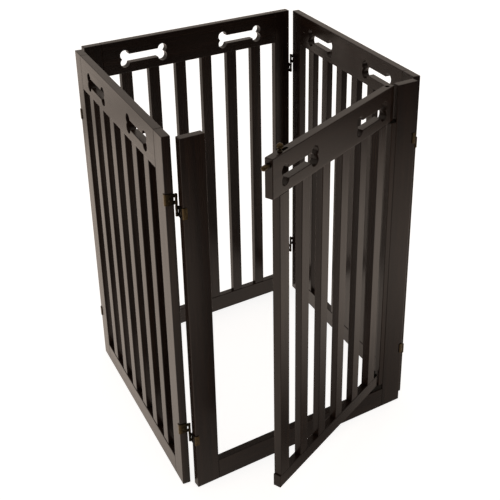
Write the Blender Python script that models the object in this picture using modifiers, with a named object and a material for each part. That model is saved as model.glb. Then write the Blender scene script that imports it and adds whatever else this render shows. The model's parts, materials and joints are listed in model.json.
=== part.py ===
"""Four-panel folding pet gate with a walk-through door, standing as a closed pen.

Metres, +Z up. The front frame is the fixed part: the origin is at floor level, in the
middle of the front frame. The other three panels are set out clockwise from it, and
each one is built in its own frame, with that frame's origin on a corner hinge pin.
The door is built the same way from its pivot.
"""

import math

import bmesh
import bpy
from mathutils import Matrix, Vector

MM = 0.001

# Overall sizes.
PANEL_LENGTH = 508 * MM
PANEL_HEIGHT = 751 * MM
THICKNESS = 16 * MM
REST_LEAN_DEG = 6.5  # how far the side panels stand off square
EDGE_ROUND = 1.2 * MM
GLUE_LINE = 0.2 * MM

# Plain panels.
STILE_WIDTH = 39 * MM
HEADER_HEIGHT = 72 * MM
RAIL_HEIGHT = 42 * MM
SLAT_WIDTH = 25 * MM
SLAT_THICKNESS = 14 * MM
SLAT_COUNT = 6

# Dog-bone hand holes in every header.
BONE_LENGTH = 110 * MM
BONE_LOBE_RADIUS = 10.5 * MM
BONE_LOBE_OFFSET = 8.5 * MM
BONE_BAR_HEIGHT = 19 * MM
BONE_SPACING = 240 * MM
BONE_DROP = 41 * MM
ARC_STEPS = 14

# Front frame.
FRAME_STILE_WIDTH = 48 * MM
THRESHOLD_HEIGHT = 47 * MM
POST_WIDTH = 11 * MM
POST_SETBACK = 0.5 * MM  # on each face

# Door.
DOOR_OPEN_DEG = 23
LATCH_GAP = 2.5 * MM
SWING_CLEARANCE = 0.1 * MM  # between the post and the rail end's sharp corner
HEADER_STUB = 14 * MM
DOOR_RAIL_HEIGHT = 28 * MM
DOOR_RAIL_STUB = 2 * MM  # past the pin
DOOR_RAIL_PROUD = 3 * MM
DOOR_STILE_WIDTH = 28 * MM
DOOR_SLAT_WIDTH = 25 * MM
DOOR_SLAT_COUNT = 4
LATCH_OVERHANG = 20 * MM
HINGE_STILE_SETBACK = 11.5 * MM

# Door pivots.
PIVOT_PLATE_THICKNESS = 2 * MM
PIVOT_BLOCK_HEIGHT = 12.3 * MM
PIVOT_BRACKET_DEPTH = 12 * MM
PIVOT_BRACKET_REACH = 7 * MM
TOP_PIN_RADIUS = 4 * MM
TOP_PIN_DROP = 5 * MM
LOW_PIN_RADIUS = 3 * MM
LOW_PIN_HEIGHT = 18 * MM
PIN_CLEARANCE = 0.6 * MM
RUNNING_GAP = 0.3 * MM

# Latch bolt.
BOLT_RADIUS = 4.6 * MM
BOLT_CLEARANCE = 0.5 * MM
BOLT_DROP = 12.5 * MM
BOLT_TRAVEL = 18 * MM
BOLT_TAIL = 45 * MM
KNOB_SETBACK = 32 * MM
KNOB_RADIUS = 6 * MM
KNOB_RISE = 9 * MM
KNOB_STEM_RADIUS = 2.5 * MM
KNOB_COLLAR_RADIUS = 4.5 * MM
KNOB_COLLAR_HEIGHT = 3 * MM
SLOT_CLEARANCE = 1 * MM

# Corner hinges: flag hinges whose pin stands off the inner edge of both panels.
HINGE_HEIGHT = 44 * MM
HINGE_FROM_END = 128 * MM
BARREL_RADIUS = 2.6 * MM
BARREL_CLEARANCE = 0.35 * MM
HINGE_PIN_RADIUS = 1.2 * MM
HINGE_BORE_RADIUS = 1.5 * MM
LEAF_THICKNESS = 1.6 * MM
LEAF_WRAP = 7 * MM

ROUND_STEPS = 24
SMALL_ROUND_STEPS = 16
TIP_RADIUS = 0.01 * MM  # a turned profile this narrow ends in a point
CUT_OVERRUN = 3 * MM

# Derived sizes.
HALF_THICKNESS = THICKNESS / 2
PIN_OFFSET = BARREL_RADIUS + BARREL_CLEARANCE
POST_HALF_DEPTH = HALF_THICKNESS - POST_SETBACK
HALF_LENGTH = PANEL_LENGTH / 2
PIN_TO_PIN = PANEL_LENGTH + 2 * PIN_OFFSET
SIDE_HEADING = math.radians(90 - REST_LEAN_DEG)
HEADER_BOTTOM = PANEL_HEIGHT - HEADER_HEIGHT
DOORWAY_HALF = HALF_LENGTH - FRAME_STILE_WIDTH
RAIL_END = LOW_PIN_RADIUS + DOOR_RAIL_STUB
PIVOT_TO_POST = math.hypot(RAIL_END, HALF_THICKNESS) + SWING_CLEARANCE
PIVOT_X = DOORWAY_HALF - POST_WIDTH - PIVOT_TO_POST
DOOR_REACH = PIVOT_X + DOORWAY_HALF - LATCH_GAP
POST_BOTTOM = THRESHOLD_HEIGHT + PIVOT_BLOCK_HEIGHT + 2 * GLUE_LINE
POST_TOP = HEADER_BOTTOM - RUNNING_GAP - PIVOT_PLATE_THICKNESS - GLUE_LINE
DOOR_RAIL_BOTTOM = THRESHOLD_HEIGHT + GLUE_LINE + PIVOT_BLOCK_HEIGHT + RUNNING_GAP
DOOR_RAIL_TOP = DOOR_RAIL_BOTTOM + DOOR_RAIL_HEIGHT
BOLT_Z = PANEL_HEIGHT - BOLT_DROP
KNOB_S = DOOR_REACH - KNOB_SETBACK


def clear_scene():
    for obj in list(bpy.data.objects):
        bpy.data.objects.remove(obj, do_unlink=True)


def make_collection(name):
    collection = bpy.data.collections.new(name)
    bpy.context.scene.collection.children.link(collection)
    return collection


def make_material(name, colour, roughness, metallic, coat=0.0):
    material = bpy.data.materials.new(name)
    material.use_nodes = True
    shader = material.node_tree.nodes["Principled BSDF"]
    shader.inputs["Base Color"].default_value = (*colour, 1)
    shader.inputs["Roughness"].default_value = roughness
    shader.inputs["Metallic"].default_value = metallic
    shader.inputs["Coat Weight"].default_value = coat
    return material


def make_axis(name, x, y, heading):
    """An empty on a hinge axis. Its local X runs along the panel it carries."""
    empty = bpy.data.objects.new(name, None)
    empty.location = (x, y, 0)
    empty.rotation_euler = (0, 0, heading)
    PARTS.objects.link(empty)
    return empty


def add_object(name, bm, material, parent, collection):
    mesh = bpy.data.meshes.new(name)
    bmesh.ops.recalc_face_normals(bm, faces=bm.faces)
    bm.to_mesh(mesh)
    bm.free()
    obj = bpy.data.objects.new(name, mesh)
    collection.objects.link(obj)
    obj.parent = parent
    if material:
        mesh.materials.append(material)
    return obj


def box_mesh(low, high):
    low = Vector(low)
    high = Vector(high)
    bm = bmesh.new()
    bmesh.ops.create_cube(bm, size=1)
    bmesh.ops.scale(bm, vec=high - low, verts=bm.verts)
    bmesh.ops.translate(bm, vec=(high + low) / 2, verts=bm.verts)
    return bm


def rod_mesh(start, end, radius, steps=ROUND_STEPS):
    """A round bar between two points."""
    start = Vector(start)
    end = Vector(end)
    along = end - start
    turn = Vector((0, 0, 1)).rotation_difference(along).to_matrix().to_4x4()
    bm = bmesh.new()
    bmesh.ops.create_cone(
        bm, segments=steps, radius1=radius, radius2=radius, depth=along.length, cap_ends=True
    )
    bmesh.ops.transform(bm, matrix=Matrix.Translation((start + end) / 2) @ turn, verts=bm.verts)
    return bm


def prism_mesh(outline, low, high, upright):
    """An outline pushed along Z when upright, or along Y when it is drawn in X and Z."""
    bm = bmesh.new()
    if upright:
        ring = [bm.verts.new((a, b, low)) for a, b in outline]
        push = Vector((0, 0, high - low))
    else:
        ring = [bm.verts.new((a, low, b)) for a, b in outline]
        push = Vector((0, high - low, 0))
    face = bm.faces.new(ring)
    made = bmesh.ops.extrude_face_region(bm, geom=[face])
    moved = [item for item in made["geom"] if isinstance(item, bmesh.types.BMVert)]
    bmesh.ops.translate(bm, vec=push, verts=moved)
    return bm


def add_box(name, low, high, material, parent):
    """A wooden piece: a box with softly broken edges."""
    obj = add_object(name, box_mesh(low, high), material, parent, PARTS)
    soften(obj)
    return obj


def soften(obj):
    bevel = obj.modifiers.new("soft_edges", "BEVEL")
    bevel.width = EDGE_ROUND
    bevel.segments = 2
    bevel.limit_method = "ANGLE"


def combine(obj, bm, name, operation):
    """Cuts a helper shape from the object, or joins it on."""
    helper = add_object(obj.name + "_" + name, bm, None, obj.parent, HELPERS)
    helper.hide_render = True
    helper.display_type = "WIRE"
    modifier = obj.modifiers.new(name, "BOOLEAN")
    modifier.object = helper
    modifier.operation = operation
    modifier.solver = "EXACT"


def bone_outline(centre_x, centre_z):
    """A dog bone: two lobes at each end of a straight bar, counter-clockwise."""
    lobe_x = BONE_LENGTH / 2 - BONE_LOBE_RADIUS
    meets_bar = math.pi - math.asin((BONE_BAR_HEIGHT / 2 - BONE_LOBE_OFFSET) / BONE_LOBE_RADIUS)
    meets_twin = -math.asin(BONE_LOBE_OFFSET / BONE_LOBE_RADIUS)
    arc = []
    for step in range(ARC_STEPS + 1):
        angle = meets_twin + (meets_bar - meets_twin) * step / ARC_STEPS
        x = lobe_x + BONE_LOBE_RADIUS * math.cos(angle)
        z = BONE_LOBE_OFFSET + BONE_LOBE_RADIUS * math.sin(angle)
        arc.append((x, z))
    upper = arc + [(-x, z) for x, z in reversed(arc)]
    lower = [(-x, -z) for x, z in upper[1:-1]]
    return [(centre_x + x, centre_z + z) for x, z in upper + lower]


def cut_bones(header, middle_x, low_y, high_y):
    centre_z = PANEL_HEIGHT - BONE_DROP
    for number, side in enumerate((-1, 1), 1):
        outline = bone_outline(middle_x + side * BONE_SPACING / 2, centre_z)
        cutter = prism_mesh(outline, low_y - CUT_OVERRUN, high_y + CUT_OVERRUN, False)
        combine(header, cutter, f"bone_{number}", "DIFFERENCE")


def slat_positions(low, high, width, count):
    """The lower edge of each slat, with equal gaps between them and at both ends."""
    gap = (high - low - count * width) / (count + 1)
    return [low + gap + number * (width + gap) for number in range(count)]


def add_plain_panel(name, parent, start):
    """Two stiles, a header, a bottom rail and upright slats, from local X = start."""
    inner = PIN_OFFSET
    outer = PIN_OFFSET + THICKNESS
    middle_y = (inner + outer) / 2
    end = start + PANEL_LENGTH
    left = start + STILE_WIDTH
    right = end - STILE_WIDTH
    add_box(name + "_stile_a", (start, inner, 0), (left, outer, PANEL_HEIGHT), WOOD, parent)
    add_box(name + "_stile_b", (right, inner, 0), (end, outer, PANEL_HEIGHT), WOOD, parent)
    left += GLUE_LINE
    right -= GLUE_LINE
    header = add_box(
        name + "_header", (left, inner, HEADER_BOTTOM), (right, outer, PANEL_HEIGHT), WOOD, parent
    )
    cut_bones(header, (start + end) / 2, inner, outer)
    add_box(name + "_rail", (left, inner, 0), (right, outer, RAIL_HEIGHT), WOOD, parent)
    slats = slat_positions(start + STILE_WIDTH, end - STILE_WIDTH, SLAT_WIDTH, SLAT_COUNT)
    for number, x in enumerate(slats, 1):
        low = (x, middle_y - SLAT_THICKNESS / 2, RAIL_HEIGHT + GLUE_LINE)
        high = (x + SLAT_WIDTH, middle_y + SLAT_THICKNESS / 2, HEADER_BOTTOM - GLUE_LINE)
        add_box(f"{name}_slat_{number}", low, high, WOOD, parent)


def leaf_outline():
    """A hinge half from above: barrel round the pin, plate on the end face, wrapped lip."""
    plate_in = PIN_OFFSET - GLUE_LINE - LEAF_THICKNESS
    plate_out = PIN_OFFSET - GLUE_LINE
    lip_in = PIN_OFFSET + THICKNESS + GLUE_LINE
    lip_out = lip_in + LEAF_THICKNESS
    outline = [
        (plate_out, 0),
        (plate_out, lip_in),
        (PIN_OFFSET + LEAF_WRAP, lip_in),
        (PIN_OFFSET + LEAF_WRAP, lip_out),
        (plate_in, lip_out),
    ]
    first = math.acos(plate_in / BARREL_RADIUS)
    for step in range(ROUND_STEPS):
        angle = first + (2 * math.pi - first) * step / ROUND_STEPS
        outline.append((BARREL_RADIUS * math.cos(angle), BARREL_RADIUS * math.sin(angle)))
    return outline


def add_hinge_half(name, parent, pin_x, side, middle_z, is_socket):
    """One half of a flag hinge: the upper socket half, or the lower half with the pin."""
    outline = [(pin_x + side * x, y) for x, y in leaf_outline()]
    if is_socket:
        low = middle_z + RUNNING_GAP / 2
        high = middle_z + HINGE_HEIGHT / 2
    else:
        low = middle_z - HINGE_HEIGHT / 2
        high = middle_z - RUNNING_GAP / 2
    half = add_object(name, prism_mesh(outline, low, high, True), BRONZE, parent, PARTS)
    if is_socket:
        bore = rod_mesh(
            (pin_x, 0, low - CUT_OVERRUN), (pin_x, 0, high + CUT_OVERRUN),
            HINGE_BORE_RADIUS, SMALL_ROUND_STEPS,
        )
        combine(half, bore, "bore", "DIFFERENCE")
    else:
        pin_top = middle_z + HINGE_HEIGHT / 2 - RUNNING_GAP
        pin = rod_mesh(
            (pin_x, 0, (low + high) / 2), (pin_x, 0, pin_top), HINGE_PIN_RADIUS, SMALL_ROUND_STEPS
        )
        combine(half, pin, "pin", "UNION")


def add_corner_hinges(corner, socket_parent, socket_x, pin_parent, pin_x):
    """The upper and lower hinge of one corner, one half on each panel."""
    heights = (("lower", HINGE_FROM_END), ("upper", PANEL_HEIGHT - HINGE_FROM_END))
    for level, middle_z in heights:
        name = f"hinge_{corner}_{level}"
        add_hinge_half(name + "_socket", socket_parent, socket_x, 1, middle_z, True)
        add_hinge_half(name + "_pin", pin_parent, pin_x, -1, middle_z, False)


def add_front_frame(parent):
    """Two plain stiles and a threshold. The right stile carries the hinge post."""
    half = HALF_THICKNESS
    left = add_box(
        "frame_stile_left", (-HALF_LENGTH, -half, 0), (-DOORWAY_HALF, half, PANEL_HEIGHT), WOOD, parent
    )
    keeper_radius = BOLT_RADIUS + BOLT_CLEARANCE
    keeper_end = -DOORWAY_HALF - (BOLT_TRAVEL - LATCH_GAP) - CUT_OVERRUN
    keeper = rod_mesh((keeper_end, 0, BOLT_Z), (-DOORWAY_HALF + CUT_OVERRUN, 0, BOLT_Z), keeper_radius)
    combine(left, keeper, "keeper", "DIFFERENCE")
    right = add_box(
        "frame_stile_right", (DOORWAY_HALF, -half, 0), (HALF_LENGTH, half, PANEL_HEIGHT), WOOD, parent
    )
    post = box_mesh(
        (DOORWAY_HALF - POST_WIDTH, -POST_HALF_DEPTH, POST_BOTTOM),
        (DOORWAY_HALF + POST_WIDTH, POST_HALF_DEPTH, POST_TOP),
    )
    combine(right, post, "post", "UNION")
    inside = DOORWAY_HALF - GLUE_LINE
    add_box(
        "frame_threshold", (-inside, -half, 0), (inside, half, THRESHOLD_HEIGHT), WOOD, parent
    )


def add_pivot_brackets(parent):
    """The steel plate under the header and the block under the bottom rail, with their pins."""
    inside = DOORWAY_HALF - GLUE_LINE
    depth = PIVOT_BRACKET_DEPTH / 2
    low_x = PIVOT_X - PIVOT_BRACKET_REACH
    plate_z = POST_TOP + GLUE_LINE
    plate_top = plate_z + PIVOT_PLATE_THICKNESS
    plate = box_mesh((low_x, -depth, plate_z), (inside, depth, plate_top))
    upper = add_object("pivot_bracket_upper", plate, STEEL, parent, PARTS)
    pin_low = (PIVOT_X, 0, plate_z + PIVOT_PLATE_THICKNESS / 2)
    pin_high = (PIVOT_X, 0, PANEL_HEIGHT - TOP_PIN_DROP)
    combine(upper, rod_mesh(pin_low, pin_high, TOP_PIN_RADIUS), "pin", "UNION")
    block_z = THRESHOLD_HEIGHT + GLUE_LINE
    block_top = block_z + PIVOT_BLOCK_HEIGHT
    block = box_mesh((low_x, -depth, block_z), (inside, depth, block_top))
    lower = add_object("pivot_bracket_lower", block, STEEL, parent, PARTS)
    pin_low = (PIVOT_X, 0, block_z + PIVOT_BLOCK_HEIGHT / 2)
    pin_high = (PIVOT_X, 0, block_top + LOW_PIN_HEIGHT)
    combine(lower, rod_mesh(pin_low, pin_high, LOW_PIN_RADIUS), "pin", "UNION")


def add_door_header(parent):
    half = HALF_THICKNESS
    header = add_box(
        "door_header", (-HEADER_STUB, -half, HEADER_BOTTOM), (DOOR_REACH, half, PANEL_HEIGHT), WOOD, parent
    )
    cut_bones(header, (DOOR_REACH - HEADER_STUB) / 2, -half, half)
    low = HEADER_BOTTOM - CUT_OVERRUN
    high = PANEL_HEIGHT + CUT_OVERRUN
    pivot = rod_mesh((0, 0, low), (0, 0, high), TOP_PIN_RADIUS + PIN_CLEARANCE)
    combine(header, pivot, "pivot_bore", "DIFFERENCE")
    tail = DOOR_REACH - BOLT_TAIL - BOLT_TRAVEL - CUT_OVERRUN
    bore_radius = BOLT_RADIUS + BOLT_CLEARANCE
    bore = rod_mesh((tail, 0, BOLT_Z), (DOOR_REACH + CUT_OVERRUN, 0, BOLT_Z), bore_radius)
    combine(header, bore, "bolt_bore", "DIFFERENCE")
    wide = KNOB_STEM_RADIUS + SLOT_CLEARANCE
    slot = box_mesh((KNOB_S - BOLT_TRAVEL - wide, -wide, BOLT_Z), (KNOB_S + wide, wide, high))
    combine(header, slot, "knob_slot", "DIFFERENCE")


def add_door(parent):
    half = HALF_THICKNESS
    add_door_header(parent)
    latch_edge = DOOR_REACH - LATCH_OVERHANG
    rail_end = latch_edge + DOOR_RAIL_PROUD
    rail = add_box(
        "door_rail", (-RAIL_END, -half, DOOR_RAIL_BOTTOM),
        (rail_end, half, DOOR_RAIL_TOP), WOOD, parent,
    )
    bore_top = DOOR_RAIL_BOTTOM + LOW_PIN_HEIGHT + RUNNING_GAP
    bore = rod_mesh((0, 0, DOOR_RAIL_BOTTOM - CUT_OVERRUN), (0, 0, bore_top), LOW_PIN_RADIUS + PIN_CLEARANCE)
    combine(rail, bore, "pivot_bore", "DIFFERENCE")
    low = DOOR_RAIL_TOP + GLUE_LINE
    high = HEADER_BOTTOM - GLUE_LINE
    hinge_edge = HINGE_STILE_SETBACK + DOOR_STILE_WIDTH
    latch_inner = latch_edge - DOOR_STILE_WIDTH
    add_box("door_stile_hinge", (HINGE_STILE_SETBACK, -half, low), (hinge_edge, half, high), WOOD, parent)
    add_box("door_stile_latch", (latch_inner, -half, low), (latch_edge, half, high), WOOD, parent)
    thin = SLAT_THICKNESS / 2
    slats = slat_positions(hinge_edge, latch_inner, DOOR_SLAT_WIDTH, DOOR_SLAT_COUNT)
    for number, s in enumerate(slats, 1):
        name = f"door_slat_{number}"
        add_box(name, (s, -thin, low), (s + DOOR_SLAT_WIDTH, thin, high), WOOD, parent)


def arc_profile(centre, radius, first, last, steps):
    """Distances and radii along part of a ball that is turned about its own axis."""
    angles = [first + (last - first) * step / steps for step in range(steps + 1)]
    return [(centre - radius * math.cos(a), max(radius * math.sin(a), 0)) for a in angles]


def turned_mesh(base, along, profile, steps=ROUND_STEPS):
    """A closed turned shape. The profile runs along its axis and starts and ends on it."""
    turn = Vector((0, 0, 1)).rotation_difference(Vector(along)).to_matrix().to_4x4()
    circle = [2 * math.pi * step / steps for step in range(steps)]
    bm = bmesh.new()
    rings = []
    for distance, radius in profile:
        if radius < TIP_RADIUS:
            rings.append([bm.verts.new((0, 0, distance))] * steps)
        else:
            ring = [(radius * math.cos(a), radius * math.sin(a), distance) for a in circle]
            rings.append([bm.verts.new(point) for point in ring])
    for lower, upper in zip(rings, rings[1:]):
        for i in range(steps):
            j = (i + 1) % steps
            bm.faces.new(list(dict.fromkeys([lower[i], lower[j], upper[j], upper[i]])))
    bmesh.ops.transform(bm, matrix=Matrix.Translation(base) @ turn, verts=bm.verts)
    return bm


def add_latch_bolt(parent):
    """A round bolt with a domed nose, and a ball knob on a collared stem above the slot."""
    length = BOLT_TAIL + BOLT_TRAVEL
    nose = arc_profile(length - BOLT_RADIUS, BOLT_RADIUS, math.pi / 2, math.pi, ARC_STEPS // 2)
    shank = turned_mesh(
        (DOOR_REACH - BOLT_TAIL, 0, BOLT_Z), (1, 0, 0), [(0, 0), (0, BOLT_RADIUS)] + nose
    )
    bolt = add_object("latch_bolt", shank, BRONZE, parent, PARTS)
    collar_low = BOLT_DROP + RUNNING_GAP
    collar_high = collar_low + KNOB_COLLAR_HEIGHT
    meets_stem = math.asin(KNOB_STEM_RADIUS / KNOB_RADIUS)
    ball = arc_profile(BOLT_DROP + KNOB_RISE, KNOB_RADIUS, meets_stem, math.pi, ARC_STEPS)
    profile = [
        (0, 0),
        (0, KNOB_STEM_RADIUS),
        (collar_low, KNOB_STEM_RADIUS),
        (collar_low, KNOB_COLLAR_RADIUS),
        (collar_high, KNOB_COLLAR_RADIUS),
        (collar_high, KNOB_STEM_RADIUS),
    ]
    combine(bolt, turned_mesh((KNOB_S, 0, BOLT_Z), (0, 0, 1), profile + ball), "knob", "UNION")


def build():
    pin_y = HALF_THICKNESS + PIN_OFFSET
    left_x = -PIN_TO_PIN / 2
    shift_x = PIN_TO_PIN * math.cos(SIDE_HEADING)
    shift_y = PIN_TO_PIN * math.sin(SIDE_HEADING)
    frame_axis = make_axis("front_frame_origin", 0, 0, 0)
    ring_axis = make_axis("front_right_pin", -left_x, pin_y, math.pi)
    left_axis = make_axis("left_panel_axis", left_x, pin_y, SIDE_HEADING)
    back_axis = make_axis("back_panel_axis", left_x + shift_x, pin_y + shift_y, 0)
    right_axis = make_axis("right_panel_axis", -left_x, pin_y, SIDE_HEADING - math.pi)
    door_axis = make_axis("door_axis", PIVOT_X, 0, math.pi + math.radians(DOOR_OPEN_DEG))

    add_front_frame(frame_axis)
    add_pivot_brackets(frame_axis)
    add_plain_panel("left", left_axis, PIN_OFFSET)
    add_plain_panel("back", back_axis, PIN_OFFSET)
    add_plain_panel("right", right_axis, PIN_OFFSET - PIN_TO_PIN)
    add_door(door_axis)
    add_latch_bolt(door_axis)

    add_corner_hinges("front_left", left_axis, 0, ring_axis, PIN_TO_PIN)
    add_corner_hinges("back_left", back_axis, 0, left_axis, PIN_TO_PIN)
    add_corner_hinges("back_right", right_axis, -PIN_TO_PIN, back_axis, PIN_TO_PIN)
    add_corner_hinges("front_right", ring_axis, 0, right_axis, 0)


clear_scene()
PARTS = make_collection("pet_gate")
HELPERS = make_collection("pet_gate_helpers")
WOOD = make_material("espresso_wood", (0.036, 0.026, 0.021), 0.45, 0.0, 0.2)
BRONZE = make_material("antique_bronze", (0.16, 0.11, 0.065), 0.38, 1.0)
STEEL = make_material("dark_steel", (0.09, 0.085, 0.08), 0.45, 1.0)
build()
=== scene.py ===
"""Folding pet gate in espresso-stained wood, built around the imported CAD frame.

Metres, +Z up, in the CAD's own frame. Every wooden board is a plate with eased edges,
cut to the size of the CAD node that it stands for. The boards of one panel are set out
in that panel's frame, whose X axis runs along the panel from its hinge pin.
"""

import itertools
import json
import math

import bmesh
import bpy
import numpy as np
from mathutils import Matrix, Vector


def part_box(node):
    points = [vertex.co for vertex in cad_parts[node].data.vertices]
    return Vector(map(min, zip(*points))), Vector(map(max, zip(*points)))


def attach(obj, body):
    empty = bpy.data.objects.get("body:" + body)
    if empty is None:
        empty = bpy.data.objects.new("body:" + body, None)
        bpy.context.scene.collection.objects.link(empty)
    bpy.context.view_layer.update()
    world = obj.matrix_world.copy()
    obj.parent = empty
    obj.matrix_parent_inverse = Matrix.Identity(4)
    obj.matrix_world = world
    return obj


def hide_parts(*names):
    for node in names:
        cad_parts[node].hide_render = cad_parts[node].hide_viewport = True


MM = 0.001

# Meshes.
MERGE_DISTANCE = 1e-6
SHARP_ANGLE = math.radians(38)
NORMAL_WEIGHT = 60
MITRE_FLOOR = 0.6
ROUND_STEPS = 40
PIN_STEPS = 24
SCREW_STEPS = 28
BEND_STEPS = 6
NOSE_STEPS = 10
BALL_STEPS = 20
NUT_DOME_STEPS = 8
CUT_OVERRUN = 3 * MM

# Wooden boards.
FREE_ROUND = 1.5 * MM  # easing of an edge that stands free
JOINT_ROUND = 0.5 * MM  # easing beside a glue joint, across the joint
EASE_DEPTH = 1.2 * MM
GLUE_LINE = 0.2 * MM
EASE_STEPS = 4
CORNER_STEPS = 4
CORNER_SLACK = 0.05 * MM
POST_OVERLAP = 0.1 * MM

# Dog-bone hand holes.
BONE_LENGTH = 110 * MM
BONE_LOBE_RADIUS = 10.5 * MM
BONE_LOBE_OFFSET = 8.5 * MM
BONE_BAR_HEIGHT = 19 * MM
BONE_SPACING = 240 * MM
BONE_DROP = 41 * MM
BONE_EASE = 0.9 * MM
BONE_MITRE_FLOOR = 0.5
ARC_STEPS = 18

# Corner hinges.
PIN_OFFSET = 2.95 * MM
BARREL_RADIUS = 2.6 * MM
BARREL_BORE = 1.35 * MM
HINGE_PIN_RADIUS = 1.2 * MM
HINGE_GAP = 0.3 * MM
LEAF_THICKNESS = 1.6 * MM
LEAF_WRAP = 7 * MM
LEAF_BEND = 3.2 * MM
KNUCKLE_HEIGHT = 7.2 * MM
KNUCKLE_INSET = 0.6 * MM
SLEEVE_INSET = 0.2 * MM
SLEEVE_LAP = 0.3 * MM
METAL_EASE = 0.3 * MM
SCREW_HEAD_RADIUS = 3.3 * MM
SCREW_HEAD_RISE = 0.9 * MM
SCREW_SLOT_WIDTH = 0.9 * MM
SCREW_SLOT_DEPTH = 0.6 * MM
SCREW_TURN_DEG = 35
SCREW_SINK = 0.2 * MM
SCREW_RIM = 0.15 * MM
SCREW_DOME_STEPS = 6
PIN_HEAD_LIP = 0.5 * MM
PIN_HEAD_STEPS = ((0.5, 0.85), (0.8, 0.45))  # (mm above the pin, share of the head's radius)
PIN_HEAD_RISE = 0.9 * MM

# Door pivots and latch.
TOP_PIN_RADIUS = 4 * MM
LOW_PIN_RADIUS = 3 * MM
PIVOT_PIN_CHAMFER = 0.6 * MM
PIVOT_PIN_MARGIN = 10 * MM
PIVOT_CLEARANCE = 0.6 * MM
BOLT_RADIUS = 4.6 * MM
BOLT_CLEARANCE = 0.5 * MM
BOLT_DROP = 12.5 * MM
BOLT_TRAVEL = 18 * MM
BOLT_TAIL = 45 * MM
KNOB_SETBACK = 32 * MM
KNOB_RADIUS = 6 * MM
KNOB_RISE = 9 * MM
KNOB_STEM_RADIUS = 2.5 * MM
KNOB_COLLAR_RADIUS = 4.5 * MM
KNOB_COLLAR_HEIGHT = 3 * MM
KNOB_COLLAR_EASE = 0.5 * MM
KNOB_COLLAR_FOOT = 1.2 * MM
KNOB_COLLAR_WAIST = 0.6 * MM
KNOB_COLLAR_NECK = 1.0 * MM
KNOB_LOWER_FLATTEN = 0.75
KNOB_WEAR = 0.9
SLOT_CLEARANCE = 1 * MM
LATCH_GAP = 2.5 * MM
SLOT_ARC_STEPS = 12
FOOT_BRACKET_HEIGHT = 17 * MM
FOOT_BRACKET_HALF_WIDTH = 6 * MM
FOOT_BRACKET_THICKNESS = 1.5 * MM
FOOT_NUT_RADIUS = 4 * MM
FOOT_NUT_HEIGHT = 11 * MM

# Wood. Noise scales run along, across and through the board, per metre.
FIGURE_SCALE = (3, 60, 60)
GRAIN_SCALE = (9, 420, 420)
PORE_SCALE = (24, 1300, 1300)
GRAIN_SHIFT = (7.0, 3.0, 5.0)  # how far apart boards lie in the grain
BOARD_STEP = 0.61803  # golden ratio, which spreads the boards' tones evenly
BOARD_TONE = 0.06
# (noise value, colour) from the dark grain to the light.
WOOD_STOPS = (
    (0.38, (0.0060, 0.0028, 0.0017)), (0.54, (0.0115, 0.0058, 0.0037)), (0.70, (0.0190, 0.0102, 0.0066)),
)
PORE_SPAN = (0.30, 0.42)
PORE_SHADE = (0.5, 1.0)
GRAIN_SPAN = (0.35, 0.65)
GRAIN_BUMP_SHARE = 0.7
PORE_BUMP_SHARE = 0.5
WOOD_ROUGH = (0.28, 0.20)
WOOD_SPECULAR = 0.28
WOOD_BUMP = 0.1 * MM

# Metal. Noise scales are per metre.
MOTTLE_SCALE = (320, 320, 320)
FINE_SCALE = (1800, 1800, 1800)
MOTTLE_STOPS = (0.38, 0.62)
MOTTLE_SPAN = (0.35, 0.65)
WEAR_SPAN = (0.35, 0.60)
WEAR_SHARE = (0.45, 1.0)
METAL_BUMP = 0.05 * MM

BUMP_STRENGTH = 0.12

# Floor and light.
FLOOR_REACH = 40
FLOOR_ROUGH = 0.9
FLOOR_SPECULAR = 0.1
FLOOR_TONE = (0.50, 0.50, 0.50)
FLOOR_GLOW = 0.85
LIGHT_TONE = (1.0, 0.87, 0.76)
LIGHT_FROM = (0.10, 0.60, 0.80)
LIGHT_SPREAD = (-0.45, 0.60)
LIGHT_LOW = 0.10
LIGHT_HIGH = 0.66
# Painted reflection: a sheet just over the floor that only reflections see, which shades and tints the
# floor's light in the lacquer.
REFLECTION_SHADE_HEIGHT = 1 * MM
# Painted reflection tint: warms the floor's light where the lacquer reflects it.
PAINTED_REFLECTION_TINT = (0.99, 0.87, 0.77)
REFLECTION_SHADE_SPAN = (-2.0, 3.0)
# Painted reflection shade: how much of the floor's light the lacquer is let reflect, by place: (metres,
# share).
PAINTED_REFLECTION_ALONG_Y = (
    (-1.40, 0.02), (-1.18, 0.31), (-1.02, 0.58), (-0.76, 0.81), (-0.45, 0.95), (1.70, 1.0), (1.95, 0.55),
    (2.10, 0.55), (2.40, 0.85),
)
PAINTED_REFLECTION_ALONG_X = ((1.12, 1.0), (1.28, 0.81), (1.50, 0.58), (1.85, 0.08), (2.0, 0.02))
# Painted shadow: a darker pool in the floor's reflections around this centre, in front of the doorway.
SHADE_CENTRE = (0.08, -0.18, 0)
SHADE_START = -0.10
SHADE_REACH = 0.66

# Camera.
CAMERA_PLACE = (-0.91946, -1.34345, 1.38977)
CAMERA_AIM = (0.4911, 0.7425, -0.4555)
CAMERA_ROLL_DEG = 0.05
CAMERA_LENS = 70.77
CAMERA_SENSOR = 36
CAMERA_SHIFT = (-0.0806, -0.0918)
CAMERA_NEAR = 0.05
CAMERA_FAR = 100


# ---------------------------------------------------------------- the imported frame

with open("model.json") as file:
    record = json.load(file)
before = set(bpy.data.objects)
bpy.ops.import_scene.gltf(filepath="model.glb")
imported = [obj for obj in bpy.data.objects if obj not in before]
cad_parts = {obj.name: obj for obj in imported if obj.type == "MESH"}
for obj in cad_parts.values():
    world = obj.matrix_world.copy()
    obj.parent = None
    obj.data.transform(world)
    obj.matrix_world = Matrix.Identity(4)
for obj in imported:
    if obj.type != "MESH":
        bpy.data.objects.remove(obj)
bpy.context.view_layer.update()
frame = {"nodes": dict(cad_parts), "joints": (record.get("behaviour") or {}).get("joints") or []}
NODES = frame["nodes"]
JOINTS = {joint["name"]: joint for joint in frame["joints"]}


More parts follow.
